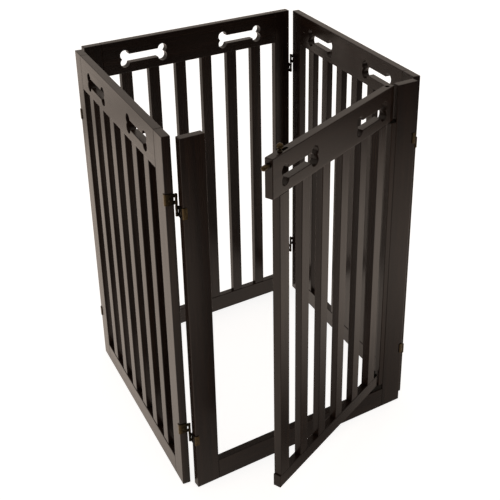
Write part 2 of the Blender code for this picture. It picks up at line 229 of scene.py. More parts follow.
def axes_at(point, heading):
    """A panel's frame: origin on its pin at floor level, X along the panel."""
    return Matrix.Translation((point[0], point[1], 0)) @ Matrix.Rotation(heading, 4, "Z")


def panel_axes():
    front_left = Vector(JOINTS["fold"]["pos_m"])
    back_left = Vector(JOINTS["back_left_fold"]["pos_m"])
    front_right = Vector(JOINTS["front_right_fold"]["pos_m"])
    along = back_left - front_left
    side = math.atan2(along.y, along.x)
    slide = JOINTS["bolt_slide"]["axis"]
    door = math.atan2(-slide[1], -slide[0])
    return {
        "frame": Matrix.Identity(4),
        "left": axes_at(front_left, side),
        "back": axes_at(back_left, 0),
        "right": axes_at(front_right, side - math.pi),
        "door": axes_at(JOINTS["door_swing"]["pos_m"], door),
        "front_ring": axes_at(front_right, math.pi),
    }


AXES = panel_axes()
PIN_TO_PIN = (
    Vector(JOINTS["front_right_fold"]["pos_m"]) - Vector(JOINTS["fold"]["pos_m"])
).length


def local_points(node, axes):
    """The CAD node's vertices in a panel's frame."""
    points = np.array([v.co for v in NODES[node].data.vertices], float)
    back = np.array(axes.inverted())
    return points @ back[:3, :3].T + back[:3, 3]


def local_box(node, axes):
    points = local_points(node, axes)
    return Vector(points.min(0)), Vector(points.max(0))


PANEL_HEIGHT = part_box("frame_stile_left")[1].z
DOOR_REACH = local_box("door_header", AXES["door"])[1].x
BOLT_Z = PANEL_HEIGHT - BOLT_DROP


# ---------------------------------------------------------------- meshes

def mark_creases(bm):
    """Shades smooth, with creases only where faces meet at a real angle."""
    for face in bm.faces:
        face.smooth = True
    for edge in bm.edges:
        if len(edge.link_faces) == 2:
            edge.smooth = edge.calc_face_angle() < SHARP_ANGLE


def finish_mesh(name, bm, matrix, material=None):
    """Makes an object of the mesh."""
    bmesh.ops.remove_doubles(bm, verts=bm.verts, dist=MERGE_DISTANCE)
    bmesh.ops.recalc_face_normals(bm, faces=bm.faces)
    mark_creases(bm)
    mesh = bpy.data.meshes.new(name)
    bm.to_mesh(mesh)
    bm.free()
    if material:
        mesh.materials.append(material)
    obj = bpy.data.objects.new(name, mesh)
    bpy.context.scene.collection.objects.link(obj)
    obj.matrix_world = matrix
    return obj


def even_normals(obj):
    """Keeps the flats flat and lets the easings carry all of the turn."""
    modifier = obj.modifiers.new("even_normals", "WEIGHTED_NORMAL")
    modifier.keep_sharp = True
    modifier.weight = NORMAL_WEIGHT


def set_tone(obj, number):
    """Gives each board its own place in the grain and its own slight tone."""
    share = (number * BOARD_STEP) % 1
    attribute = obj.data.attributes.new("board", "FLOAT", "POINT")
    attribute.data.foreach_set("value", [share] * len(obj.data.vertices))


def set_wear(obj, share_at):
    """Rubs the plating: share_at gives the wear, 0 to 1, at a point of the mesh."""
    attribute = obj.data.attributes.new("wear", "FLOAT", "POINT")
    attribute.data.foreach_set("value", [share_at(vertex.co) for vertex in obj.data.vertices])


def rounded_rectangle(low, high, ease_x, ease_y):
    """Corner arcs as (x, y, inset x, inset y), counter-clockwise.

    ease_x and ease_y hold the easing at the low and the high side.
    """
    outline = []
    quarters = ((1, -1, -90), (1, 1, 0), (-1, 1, 90), (-1, -1, 180))
    for side_x, side_y, first in quarters:
        round_x = ease_x[side_x > 0]
        round_y = ease_y[side_y > 0]
        arc_x = round_x + CORNER_SLACK
        arc_y = round_y + CORNER_SLACK
        centre_x = (high[0] - arc_x) if side_x > 0 else (low[0] + arc_x)
        centre_y = (high[1] - arc_y) if side_y > 0 else (low[1] + arc_y)
        for step in range(CORNER_STEPS + 1):
            angle = math.radians(first + 90 * step / CORNER_STEPS)
            turn_x = math.cos(angle)
            turn_y = math.sin(angle)
            outline.append(
                (centre_x + arc_x * turn_x, centre_y + arc_y * turn_y, round_x * turn_x, round_y * turn_y)
            )
    return outline


def plate_mesh(outer, holes, thickness, ease_depth):
    """A plate with eased edges, drawn in X and Y, its thickness along Z."""
    bm = bmesh.new()
    half = thickness / 2
    profile = []
    for step in range(EASE_STEPS + 1):
        turn = math.pi / 2 * step / EASE_STEPS
        profile.append((1 - math.sin(turn), half - ease_depth * (1 - math.cos(turn))))
    profile += [(inset, -height) for inset, height in reversed(profile)]
    faces_at = ([], [])
    for outline in (outer, *holes):
        rings = []
        for inset, height in profile:
            ring = [bm.verts.new((x - dx * inset, y - dy * inset, height)) for x, y, dx, dy in outline]
            rings.append(ring)
        count = len(outline)
        for upper, lower in zip(rings, rings[1:]):
            for i in range(count):
                j = (i + 1) % count
                bm.faces.new((upper[i], upper[j], lower[j], lower[i]))
        for ring, edges in zip((rings[0], rings[-1]), faces_at):
            for i in range(count):
                edges.append(bm.edges.get((ring[i], ring[(i + 1) % count])))
    for edges in faces_at:
        if holes:
            bmesh.ops.triangle_fill(bm, use_beauty=True, use_dissolve=False, edges=edges)
        else:
            bmesh.ops.contextual_create(bm, geom=edges)
    return bm


def turned_mesh(profile, steps=ROUND_STEPS):
    """A closed turned shape about Z, from (height, radius) pairs that start and end on the axis."""
    bm = bmesh.new()
    circle = [2 * math.pi * step / steps for step in range(steps)]
    rings = []
    for height, radius in profile:
        if radius < MERGE_DISTANCE:
            rings.append([bm.verts.new((0, 0, height))] * steps)
        else:
            ring = [(radius * math.cos(a), radius * math.sin(a), height) for a in circle]
            rings.append([bm.verts.new(point) for point in ring])
    for lower, upper in zip(rings, rings[1:]):
        for i in range(steps):
            j = (i + 1) % steps
            corners = list(dict.fromkeys([lower[i], lower[j], upper[j], upper[i]]))
            if len(corners) > 2:
                bm.faces.new(corners)
    return bm


def arc_points(centre, radius, first, last, steps):
    """(x, y) points along part of a circle, between two angles in degrees."""
    points = []
    for step in range(steps + 1):
        angle = math.radians(first + (last - first) * step / steps)
        points.append((centre[0] + radius * math.cos(angle), centre[1] + radius * math.sin(angle)))
    return points


def ring_mesh(profile, steps=ROUND_STEPS):
    """A ring about Z whose section is a closed chain of (height, radius) pairs."""
    bm = bmesh.new()
    circle = [2 * math.pi * step / steps for step in range(steps)]
    rings = []
    for height, radius in profile:
        ring = [(radius * math.cos(a), radius * math.sin(a), height) for a in circle]
        rings.append([bm.verts.new(point) for point in ring])
    for lower, upper in zip(rings, rings[1:] + rings[:1]):
        for i in range(steps):
            j = (i + 1) % steps
            bm.faces.new((lower[i], lower[j], upper[j], upper[i]))
    return bm


def arc_profile(centre, radius, first, last, steps):
    """(height, radius) pairs along part of a ball."""
    angles = [first + (last - first) * step / steps for step in range(steps + 1)]
    return [(centre - radius * math.cos(a), max(radius * math.sin(a), 0)) for a in angles]


def add_mesh(bm, other, matrix):
    """Joins another mesh on, moved by the matrix."""
    bmesh.ops.transform(other, matrix=matrix, verts=other.verts)
    copied = bpy.data.meshes.new("join")
    other.to_mesh(copied)
    other.free()
    bm.from_mesh(copied)
    bpy.data.meshes.remove(copied)


def cut(obj, shape, matrix):
    """Cuts a closed shape from the object for good."""
    tool = finish_mesh("cutter", shape, matrix)
    modifier = obj.modifiers.new("cut", "BOOLEAN")
    modifier.object = tool
    modifier.operation = "DIFFERENCE"
    modifier.solver = "EXACT"
    bpy.context.view_layer.update()
    graph = bpy.context.evaluated_depsgraph_get()
    result = bpy.data.meshes.new_from_object(obj.evaluated_get(graph), depsgraph=graph)
    obj.modifiers.remove(modifier)
    bm = bmesh.new()
    bm.from_mesh(result)
    mark_creases(bm)
    bm.to_mesh(result)
    bm.free()
    old = obj.data
    obj.data = result
    result.name = obj.name
    bpy.data.meshes.remove(old)
    bpy.data.objects.remove(tool)


def round_cutter(radius, length):
    return turned_mesh([(0, 0), (0, radius), (length, radius), (length, 0)])


def pointing(start, along):
    """A matrix that puts Z along a direction, from a starting point."""
    turn = Vector((0, 0, 1)).rotation_difference(Vector(along)).to_matrix().to_4x4()
    return Matrix.Translation(start) @ turn


# ---------------------------------------------------------------- materials

def new_material(name):
    material = bpy.data.materials.new(name)
    material.use_nodes = True
    return material, material.node_tree, material.node_tree.nodes["Principled BSDF"]


def add_node(tree, kind, **settings):
    node = tree.nodes.new(kind)
    for key, value in settings.items():
        setattr(node, key, value)
    return node


def stretched_noise(tree, vector, scale, detail, roughness=0.5, distortion=0.0):
    """Noise with its own scale along each axis of the board."""
    mapping = add_node(tree, "ShaderNodeMapping")
    mapping.inputs["Scale"].default_value = scale
    tree.links.new(vector, mapping.inputs["Vector"])
    noise = add_node(tree, "ShaderNodeTexNoise")
    noise.inputs["Scale"].default_value = 1
    noise.inputs["Detail"].default_value = detail
    noise.inputs["Roughness"].default_value = roughness
    noise.inputs["Distortion"].default_value = distortion
    tree.links.new(mapping.outputs["Vector"], noise.inputs["Vector"])
    return noise.outputs["Fac"]


def math_node(tree, operation, first, second):
    node = add_node(tree, "ShaderNodeMath", operation=operation)
    for socket, value in zip(node.inputs, (first, second)):
        if isinstance(value, (int, float)):
            socket.default_value = value
        else:
            tree.links.new(value, socket)
    return node.outputs[0]


def remap(tree, value, from_low, from_high, to_low, to_high):
    node = add_node(tree, "ShaderNodeMapRange")
    tree.links.new(value, node.inputs["Value"])
    node.inputs["From Min"].default_value = from_low
    node.inputs["From Max"].default_value = from_high
    node.inputs["To Min"].default_value = to_low
    node.inputs["To Max"].default_value = to_high
    return node.outputs["Result"]


def falloff(tree, value, dark_at, bright_at):
    """0 at one place and 1 at another, with a soft step between them."""
    node = add_node(tree, "ShaderNodeMapRange", interpolation_type="SMOOTHSTEP")
    tree.links.new(value, node.inputs["Value"])
    node.inputs["From Min"].default_value = dark_at
    node.inputs["From Max"].default_value = bright_at
    return node.outputs["Result"]


def colour_ramp(tree, value, *stops):
    node = add_node(tree, "ShaderNodeValToRGB")
    ramp = node.color_ramp
    while len(ramp.elements) < len(stops):
        ramp.elements.new(0.5)
    for element, (place, colour) in zip(ramp.elements, stops):
        element.position = place
        element.color = (*colour, 1)
    tree.links.new(value, node.inputs["Fac"])
    return node.outputs["Color"]


def add_bump(tree, shader, height, distance):
    node = add_node(tree, "ShaderNodeBump")
    node.inputs["Strength"].default_value = BUMP_STRENGTH
    node.inputs["Distance"].default_value = distance
    tree.links.new(height, node.inputs["Height"])
    tree.links.new(node.outputs["Normal"], shader.inputs["Normal"])


def place_in_grain(tree, board):
    """The board's own place, moved so that no two boards show the same grain."""
    place = add_node(tree, "ShaderNodeTexCoord").outputs["Object"]
    shift = add_node(tree, "ShaderNodeCombineXYZ")
    for axis, span in zip("XYZ", GRAIN_SHIFT):
        tree.links.new(math_node(tree, "MULTIPLY", board, span), shift.inputs[axis])
    moved = add_node(tree, "ShaderNodeVectorMath", operation="ADD")
    tree.links.new(place, moved.inputs[0])
    tree.links.new(shift.outputs[0], moved.inputs[1])
    return moved.outputs[0]


def wood_material():
    """Espresso stain under a satin lacquer. The grain runs along each board's own X axis."""
    material, tree, shader = new_material("espresso_wood")
    board = add_node(tree, "ShaderNodeAttribute", attribute_name="board").outputs["Fac"]
    vector = place_in_grain(tree, board)
    figure = stretched_noise(tree, vector, FIGURE_SCALE, detail=3, roughness=0.55, distortion=0.6)
    grain = stretched_noise(tree, vector, GRAIN_SCALE, detail=3, roughness=0.6, distortion=0.3)
    pores = stretched_noise(tree, vector, PORE_SCALE, detail=1, roughness=0.5)
    half_figure = math_node(tree, "MULTIPLY", figure, 0.5)
    half_grain = math_node(tree, "MULTIPLY", grain, 0.5)
    mixed = math_node(tree, "ADD", half_figure, half_grain)
    tone = math_node(tree, "ADD", mixed, math_node(tree, "MULTIPLY", board, BOARD_TONE))
    colour = colour_ramp(tree, tone, *WOOD_STOPS)
    dark = remap(tree, pores, *PORE_SPAN, *PORE_SHADE)
    shade = add_node(tree, "ShaderNodeMix", data_type="RGBA", blend_type="MULTIPLY")
    shade.inputs["Factor"].default_value = 1
    tree.links.new(colour, shade.inputs["A"])
    tree.links.new(dark, shade.inputs["B"])
    tree.links.new(shade.outputs["Result"], shader.inputs["Base Color"])
    tree.links.new(remap(tree, mixed, *GRAIN_SPAN, *WOOD_ROUGH), shader.inputs["Roughness"])
    shader.inputs["Specular IOR Level"].default_value = WOOD_SPECULAR
    grain_height = math_node(tree, "MULTIPLY", grain, GRAIN_BUMP_SHARE)
    pore_height = math_node(tree, "MULTIPLY", pores, PORE_BUMP_SHARE)
    height = math_node(tree, "ADD", grain_height, pore_height)
    add_bump(tree, shader, height, WOOD_BUMP)
    return material


def metal_material(name, *, dark, light, worn, rough_low, rough_high):
    """Plated metal with faint mottling, rubbed brighter where the wear attribute says so."""
    material, tree, shader = new_material(name)
    place = add_node(tree, "ShaderNodeTexCoord").outputs["Object"]
    wear = add_node(tree, "ShaderNodeAttribute", attribute_name="wear").outputs["Fac"]
    mottle = stretched_noise(tree, place, MOTTLE_SCALE, detail=4, roughness=0.6)
    fine = stretched_noise(tree, place, FINE_SCALE, detail=2, roughness=0.5)
    colour = colour_ramp(tree, mottle, *zip(MOTTLE_STOPS, (dark, light)))
    rubbed = math_node(tree, "MULTIPLY", wear, remap(tree, mottle, *WEAR_SPAN, *WEAR_SHARE))
    shade = add_node(tree, "ShaderNodeMix", data_type="RGBA")
    tree.links.new(rubbed, shade.inputs["Factor"])
    tree.links.new(colour, shade.inputs["A"])
    shade.inputs["B"].default_value = (*worn, 1)
    tree.links.new(shade.outputs["Result"], shader.inputs["Base Color"])
    rough = remap(tree, mottle, *MOTTLE_SPAN, rough_high, rough_low)
    tree.links.new(rough, shader.inputs["Roughness"])
    shader.inputs["Metallic"].default_value = 1
    add_bump(tree, shader, fine, METAL_BUMP)
    return material


WOOD = wood_material()
BRONZE = metal_material(
    "antique_bronze",
    dark=(0.010, 0.008, 0.005),
    light=(0.030, 0.023, 0.014),
    worn=(0.090, 0.064, 0.032),
    rough_low=0.24,
    rough_high=0.40,
)
STEEL = metal_material(
    "dark_steel",
    dark=(0.010, 0.009, 0.008),
    light=(0.024, 0.022, 0.020),
    worn=(0.10, 0.09, 0.08),
    rough_low=0.30,
    rough_high=0.45,
)
SCREW = metal_material(
    "screw_bronze",
    dark=(0.018, 0.014, 0.009),
    light=(0.045, 0.035, 0.022),
    worn=(0.16, 0.12, 0.07),
    rough_low=0.22,
    rough_high=0.36,
)


# ---------------------------------------------------------------- boards

board_numbers = itertools.count(1)


def nodes_from(start):
    """The CAD nodes with this start to their names, in the order of their numbers."""
    found = [node for node in NODES if node.startswith(start)]
    return sorted(found, key=lambda node: int(node[len(start):]))


def board_matrix(axes, low, high, upright):
    """Board space: X along the grain, Y across the face, Z through the thickness."""
    if upright:
        turn = Matrix(((0, 1, 0), (0, 0, 1), (1, 0, 0)))
    else:
        turn = Matrix(((1, 0, 0), (0, 0, -1), (0, 1, 0)))
    return axes @ Matrix.Translation((low + high) / 2) @ turn.to_4x4()


def add_board(name, axes, low, high, upright, joints="", holes=()):
    """A plate with its free edges well eased and its jointed ends or sides barely eased.

    joints names the sides that meet another board: x- and x+ are the ends of the
    grain, y- and y+ the two long edges.
    """
    low = Vector(low)
    high = Vector(high)
    size = high - low
    length, width = (size.z, size.x) if upright else (size.x, size.z)
    half = (length / 2, width / 2)
    sides = joints.split()
    ease_x = [JOINT_ROUND if side in sides else FREE_ROUND for side in ("x-", "x+")]
    ease_y = [JOINT_ROUND if side in sides else FREE_ROUND for side in ("y-", "y+")]
    grow = GLUE_LINE / 2
    low_2d = [-half[0] - grow * ("x-" in sides), -half[1] - grow * ("y-" in sides)]
    high_2d = [half[0] + grow * ("x+" in sides), half[1] + grow * ("y+" in sides)]
    outer = rounded_rectangle(low_2d, high_2d, ease_x, ease_y)
    bm = plate_mesh(outer, holes, size.y, EASE_DEPTH)
    obj = finish_mesh(name, bm, board_matrix(axes, low, high, upright), WOOD)
    set_tone(obj, next(board_numbers))
    return obj


def settle(obj, body, slot, *nodes):
    """Puts the piece on its body, in place of the CAD nodes that it stands for."""
    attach(obj, body)
    if nodes:
        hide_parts(*nodes)
    return obj


def bone_outline(centre_x, centre_y):
    """A dog bone as (x, y, inset x, inset y), clockwise, its insets pointing into the hole."""
    lobe_x = BONE_LENGTH / 2 - BONE_LOBE_RADIUS
    meets_bar = math.pi - math.asin((BONE_BAR_HEIGHT / 2 - BONE_LOBE_OFFSET) / BONE_LOBE_RADIUS)
    meets_twin = -math.asin(BONE_LOBE_OFFSET / BONE_LOBE_RADIUS)
    arc = []
    for step in range(ARC_STEPS + 1):
        angle = meets_twin + (meets_bar - meets_twin) * step / ARC_STEPS
        x = lobe_x + BONE_LOBE_RADIUS * math.cos(angle)
        y = BONE_LOBE_OFFSET + BONE_LOBE_RADIUS * math.sin(angle)
        arc.append((x, y))
    upper = arc + [(-x, y) for x, y in reversed(arc)]
    points = upper + [(-x, -y) for x, y in upper[1:-1]]
    points.reverse()
    count = len(points)
    outline = []
    for i, (x, y) in enumerate(points):
        before = Vector(points[i - 1])
        after = Vector(points[(i + 1) % count])
        here = Vector((x, y))
        normal_in = (here - before).normalized()
        normal_out = (after - here).normalized()
        first = Vector((-normal_in.y, normal_in.x))
        second = Vector((-normal_out.y, normal_out.x))
        middle = (first + second).normalized()
        reach = BONE_EASE / max(middle.dot(first), BONE_MITRE_FLOOR)
        outline.append((centre_x + x, centre_y + y, -middle.x * reach, -middle.y * reach))
    return outline


def bones_for(low, high, middle_x):
    """The two hand holes of a header, in board space."""
    centre = (low + high) / 2
    centre_y = PANEL_HEIGHT - BONE_DROP - centre.z
    return [
        bone_outline(middle_x + side * BONE_SPACING / 2 - centre.x, centre_y) for side in (-1, 1)
    ]


def add_cad_board(node, axes, body, upright, joints="", holes=()):
    """A board of its CAD node's size, in that node's place."""
    low, high = local_box(node, axes)
    board = add_board(node + "_board", axes, low, high, upright, joints, holes)
    even_normals(settle(board, body, "espresso_wood", node))


def add_plain_panel(name):
    axes = AXES[name]
    body = name + "_panel"
    low_a, _ = local_box(name + "_stile_a", axes)
    _, high_b = local_box(name + "_stile_b", axes)
    header_low, header_high = local_box(name + "_header", axes)
    bones = bones_for(header_low, header_high, (low_a.x + high_b.x) / 2)
    for side in "ab":
        add_cad_board(f"{name}_stile_{side}", axes, body, True)
    add_cad_board(name + "_header", axes, body, False, "x- x+", bones)
    add_cad_board(name + "_rail", axes, body, False, "x- x+")
    for node in nodes_from(name + "_slat_"):
        add_cad_board(node, axes, body, True, "x- x+")


def add_front_frame():
    axes = AXES["frame"]
    low, high = local_box("frame_stile_left", axes)
    left = add_board("frame_stile_left_board", axes, low, high, True)
    keeper_start = (high.x - (BOLT_TRAVEL - LATCH_GAP) - CUT_OVERRUN, 0, BOLT_Z)
    keeper = round_cutter(BOLT_RADIUS + BOLT_CLEARANCE, BOLT_TRAVEL + 2 * CUT_OVERRUN)
    cut(left, keeper, axes @ pointing(keeper_start, (1, 0, 0)))
    even_normals(settle(left, "front_frame", "espresso_wood", "frame_stile_left"))

    right_low = Vector((-high.x, low.y, low.z))
    right_high = Vector((-low.x, high.y, high.z))
    right = add_board("frame_stile_right_board", axes, right_low, right_high, True)
    even_normals(settle(right, "front_frame", "espresso_wood", "frame_stile_right"))
    points = local_points("frame_stile_right", axes)
    post_points = points[points[:, 0] < right_low.x - POST_OVERLAP]
    post_low = Vector(post_points.min(0))
    post_high = Vector(post_points.max(0))
    post_high.x = right_low.x
    post = add_board("frame_hinge_post_board", axes, post_low, post_high, True, "y+")
    even_normals(settle(post, "front_frame", "espresso_wood"))

    add_cad_board("frame_threshold", axes, "front_frame", False, "x- x+")


def slot_cutter(low_x, high_x, half_width, low, height):
    """An upright slot with round ends, along X."""
    bm = bmesh.new()
    ring = []
    for centre, first in ((high_x, -90), (low_x, 90)):
        for x, y in arc_points((centre, 0), half_width, first, first + 180, SLOT_ARC_STEPS):
            ring.append(bm.verts.new((x, y, low)))
    made = bmesh.ops.extrude_face_region(bm, geom=[bm.faces.new(ring)])
    moved = [item for item in made["geom"] if isinstance(item, bmesh.types.BMVert)]
    bmesh.ops.translate(bm, vec=(0, 0, height), verts=moved)
    return bm


def add_door_header():
    """The header, cut through for the pivot pin, the bolt and the knob's stem."""
    axes = AXES["door"]
    low, high = local_box("door_header", axes)
    middle_x = (low.x + high.x) / 2
    header = add_board("door_header_board", axes, low, high, False, "", bones_for(low, high, middle_x))
    pivot_low = (0, 0, low.z - CUT_OVERRUN)
    pivot = round_cutter(TOP_PIN_RADIUS + PIVOT_CLEARANCE, high.z - low.z + 2 * CUT_OVERRUN)
    cut(header, pivot, axes @ pointing(pivot_low, (0, 0, 1)))
    tail = DOOR_REACH - BOLT_TAIL - BOLT_TRAVEL - CUT_OVERRUN
    bore = round_cutter(BOLT_RADIUS + BOLT_CLEARANCE, DOOR_REACH - tail + CUT_OVERRUN)
    cut(header, bore, axes @ pointing((tail, 0, BOLT_Z), (1, 0, 0)))
    slot_high = DOOR_REACH - KNOB_SETBACK
    slot_half = KNOB_STEM_RADIUS + SLOT_CLEARANCE
    slot_depth = PANEL_HEIGHT - BOLT_Z + CUT_OVERRUN
    slot = slot_cutter(slot_high - BOLT_TRAVEL, slot_high, slot_half, BOLT_Z, slot_depth)
    cut(header, slot, axes)
    even_normals(settle(header, "door", "espresso_wood", "door_header"))


def add_door():
    add_door_header()
    axes = AXES["door"]
    add_cad_board("door_rail", axes, "door", False)
    for node in ["door_stile_hinge", "door_stile_latch"] + nodes_from("door_slat_"):
        add_cad_board(node, axes, "door", True, "x- x+")


# ---------------------------------------------------------------- metal

def thick_strip(path, thickness):
    """A closed outline along a path of points, half the thickness to each side."""
    left = []
    right = []
    count = len(path)
    for i, point in enumerate(path):
        before = path[max(i - 1, 0)]
        after = path[min(i + 1, count - 1)]
        along = (Vector(after) - Vector(before)).normalized()
        normal = Vector((-along.y, along.x))
        left.append(Vector(point) + normal * thickness / 2)
        right.append(Vector(point) - normal * thickness / 2)
    return left + right[::-1]


def eased_prism(outline, low, high, ease):
    """An upright prism whose top and bottom edges are slightly eased."""
    bm = bmesh.new()
    count = len(outline)
    normals = []
    for i, point in enumerate(outline):
        before = (point - outline[i - 1]).normalized()
        after = (outline[(i + 1) % count] - point).normalized()
        first = Vector((before.y, -before.x))
        second = Vector((after.y, -after.x))
        middle = (first + second).normalized()
        normals.append(middle / max(middle.dot(first), MITRE_FLOOR))
    rings = []
    for inset, height in ((ease, low), (0, low + ease), (0, high - ease), (ease, high)):
        rings.append([bm.verts.new((*(p - n * inset), height)) for p, n in zip(outline, normals)])
    for lower, upper in zip(rings, rings[1:]):
        for i in range(count):
            j = (i + 1) % count
            bm.faces.new((lower[i], lower[j], upper[j], upper[i]))
    bm.faces.new(rings[0][::-1])
    bm.faces.new(rings[-1])
    return bm


def signed_area(outline):
    total = 0
    for i, point in enumerate(outline):
        after = outline[(i + 1) % len(outline)]
        total += point.x * after.y - after.x * point.y
    return total / 2


def leaf_path(thickness):
    """The middle line of a bent hinge leaf from above: lip, bend and plate."""
    plate_x = PIN_OFFSET - GLUE_LINE - LEAF_THICKNESS / 2
    lip_y = PIN_OFFSET + thickness + GLUE_LINE + LEAF_THICKNESS / 2
    bend = LEAF_BEND - LEAF_THICKNESS / 2
    path = [(PIN_OFFSET + LEAF_WRAP, lip_y), (PIN_OFFSET + LEAF_WRAP * 0.5, lip_y)]
    path += arc_points((plate_x + bend, lip_y - bend), bend, 90, 180, BEND_STEPS)
    path += [(plate_x, lip_y * 0.6), (plate_x, lip_y * 0.3)]
    return path


def knuckle_mesh(low, high):
    """One rolled knuckle about the pin."""
    ease = METAL_EASE
    profile = [(low, BARREL_BORE), (low, BARREL_RADIUS - ease), (low + ease, BARREL_RADIUS)]
    profile += [(high - ease, BARREL_RADIUS), (high, BARREL_RADIUS - ease), (high, BARREL_BORE)]
    return ring_mesh(profile)


def sleeve_mesh(low, high):
    """The plain tube between two knuckles."""
    radius = BARREL_RADIUS - SLEEVE_INSET
    return ring_mesh([(low, BARREL_BORE), (low, radius), (high, radius), (high, BARREL_BORE)])


def leaf_outline(path, pin_x, side):
    outline = [Vector((pin_x + side * p.x, p.y)) for p in thick_strip(path, LEAF_THICKNESS)]
    if signed_area(outline) < 0:
        outline.reverse()
    return outline


def add_hinge_half(name, axes, body, pin_x, side, low, high, thickness):
    """A bent leaf, two knuckles on short necks, and a slotted screw."""
    plate_x = PIN_OFFSET - GLUE_LINE - LEAF_THICKNESS / 2
    plate_low = PIN_OFFSET + LEAF_THICKNESS / 2
    plate = leaf_path(thickness) + [(plate_x, plate_low)]
    neck = [(plate_x, plate_low + LEAF_THICKNESS), (plate_x, BARREL_RADIUS), (plate_x, BARREL_RADIUS / 2)]
    bm = eased_prism(leaf_outline(plate, pin_x, side), low, high, METAL_EASE)
    first_low = low + KNUCKLE_INSET
    last_low = high - KNUCKLE_INSET - KNUCKLE_HEIGHT
    sleeve = sleeve_mesh(first_low + KNUCKLE_HEIGHT - SLEEVE_LAP, last_low + SLEEVE_LAP)
    add_mesh(bm, sleeve, Matrix.Translation((pin_x, 0, 0)))
    for knuckle_low in (first_low, last_low):
        knuckle_high = knuckle_low + KNUCKLE_HEIGHT
        link = eased_prism(leaf_outline(neck, pin_x, side), knuckle_low, knuckle_high, METAL_EASE)
        add_mesh(bm, link, Matrix.Identity(4))
        add_mesh(bm, knuckle_mesh(knuckle_low, knuckle_high), Matrix.Translation((pin_x, 0, 0)))
    obj = finish_mesh(name + "_leaf", bm, axes, BRONZE)
    bend_start = PIN_OFFSET + thickness - LEAF_BEND
    set_wear(obj, lambda point: min(max((point.y - bend_start) / LEAF_BEND, 0), 1))
    even_normals(settle(obj, body, "bronze_hardware", name))
    screw_z = (low + high) / 2
    screw_y = PIN_OFFSET + thickness * 0.5
    face_x = pin_x + side * (PIN_OFFSET - GLUE_LINE - LEAF_THICKNESS)
    add_screw(name + "_screw", axes, body, (face_x, screw_y, screw_z), (-side, 0, 0), SCREW_TURN_DEG)


def add_pin(name, axes, body, pin_x, low, high):
    """A hinge pin with a domed head on top."""
    head = BARREL_BORE + PIN_HEAD_LIP
    profile = [(low, 0), (low, HINGE_PIN_RADIUS), (high, HINGE_PIN_RADIUS), (high, head)]
    profile += [(high + rise * MM, head * share) for rise, share in PIN_HEAD_STEPS]
    profile.append((high + PIN_HEAD_RISE, 0))
    obj = finish_mesh(name, turned_mesh(profile, PIN_STEPS), axes @ Matrix.Translation((pin_x, 0, 0)), SCREW)
    settle(obj, body, "bronze_hardware")


def add_screw(name, axes, body, point, along, turn_deg):
    """A raised, slotted screw head whose under side stands on the plate."""
    radius = SCREW_HEAD_RADIUS
    rise = SCREW_HEAD_RISE
    profile = [(-SCREW_SINK, 0), (-SCREW_SINK, radius), (SCREW_RIM, radius)]
    for step in range(1, SCREW_DOME_STEPS + 1):
        angle = math.pi / 2 * step / SCREW_DOME_STEPS
        profile.append((SCREW_RIM + (rise - SCREW_RIM) * math.sin(angle), radius * math.cos(angle)))
    place = axes @ pointing(point, along)
    obj = finish_mesh(name, turned_mesh(profile, SCREW_STEPS), place, SCREW)
    slot = bmesh.new()
    bmesh.ops.create_cube(slot, size=1)
    bmesh.ops.scale(slot, vec=(3 * radius, SCREW_SLOT_WIDTH, 2 * SCREW_SLOT_DEPTH), verts=slot.verts)
    cut(obj, slot, place @ Matrix.Rotation(math.radians(turn_deg), 4, "Z") @ Matrix.Translation((0, 0, rise)))
    settle(obj, body, "bronze_hardware")


def add_corner_hinges(corner, socket_axes, socket_body, socket_x, pin_axes, pin_body, pin_x):
    low, high = local_box("left_stile_a", AXES["left"])
    thickness = high.y - low.y
    for level in ("lower", "upper"):
        name = f"hinge_{corner}_{level}"
        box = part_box(name + "_socket")
        add_hinge_half(
            name + "_socket", socket_axes, socket_body, socket_x, 1, box[0].z, box[1].z, thickness
        )
        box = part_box(name + "_pin")
        leaf_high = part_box(name + "_socket")[0].z - HINGE_GAP
        add_hinge_half(
            name + "_pin", pin_axes, pin_body, pin_x, -1, box[0].z, leaf_high, thickness
        )
        add_pin(name + "_pin_rod", pin_axes, pin_body, pin_x, box[0].z, box[1].z)


def add_latch_bolt():
    """A round bolt with a domed nose, rubbed where it meets the keeper."""
    axes = AXES["door"]
    length = BOLT_TAIL + BOLT_TRAVEL
    nose = arc_profile(length - BOLT_RADIUS, BOLT_RADIUS, math.pi / 2, math.pi, NOSE_STEPS)
    bm = turned_mesh([(0, 0), (0, BOLT_RADIUS - METAL_EASE), (METAL_EASE, BOLT_RADIUS)] + nose)
    turn = pointing((DOOR_REACH - BOLT_TAIL, 0, BOLT_Z), (1, 0, 0))
    bolt = finish_mesh("latch_bolt_rod", bm, axes @ turn, BRONZE)
    set_wear(bolt, lambda point: KNOB_WEAR if point.z > length - BOLT_RADIUS else 0)
    even_normals(settle(bolt, "latch_bolt", "bronze_hardware", "latch_bolt"))


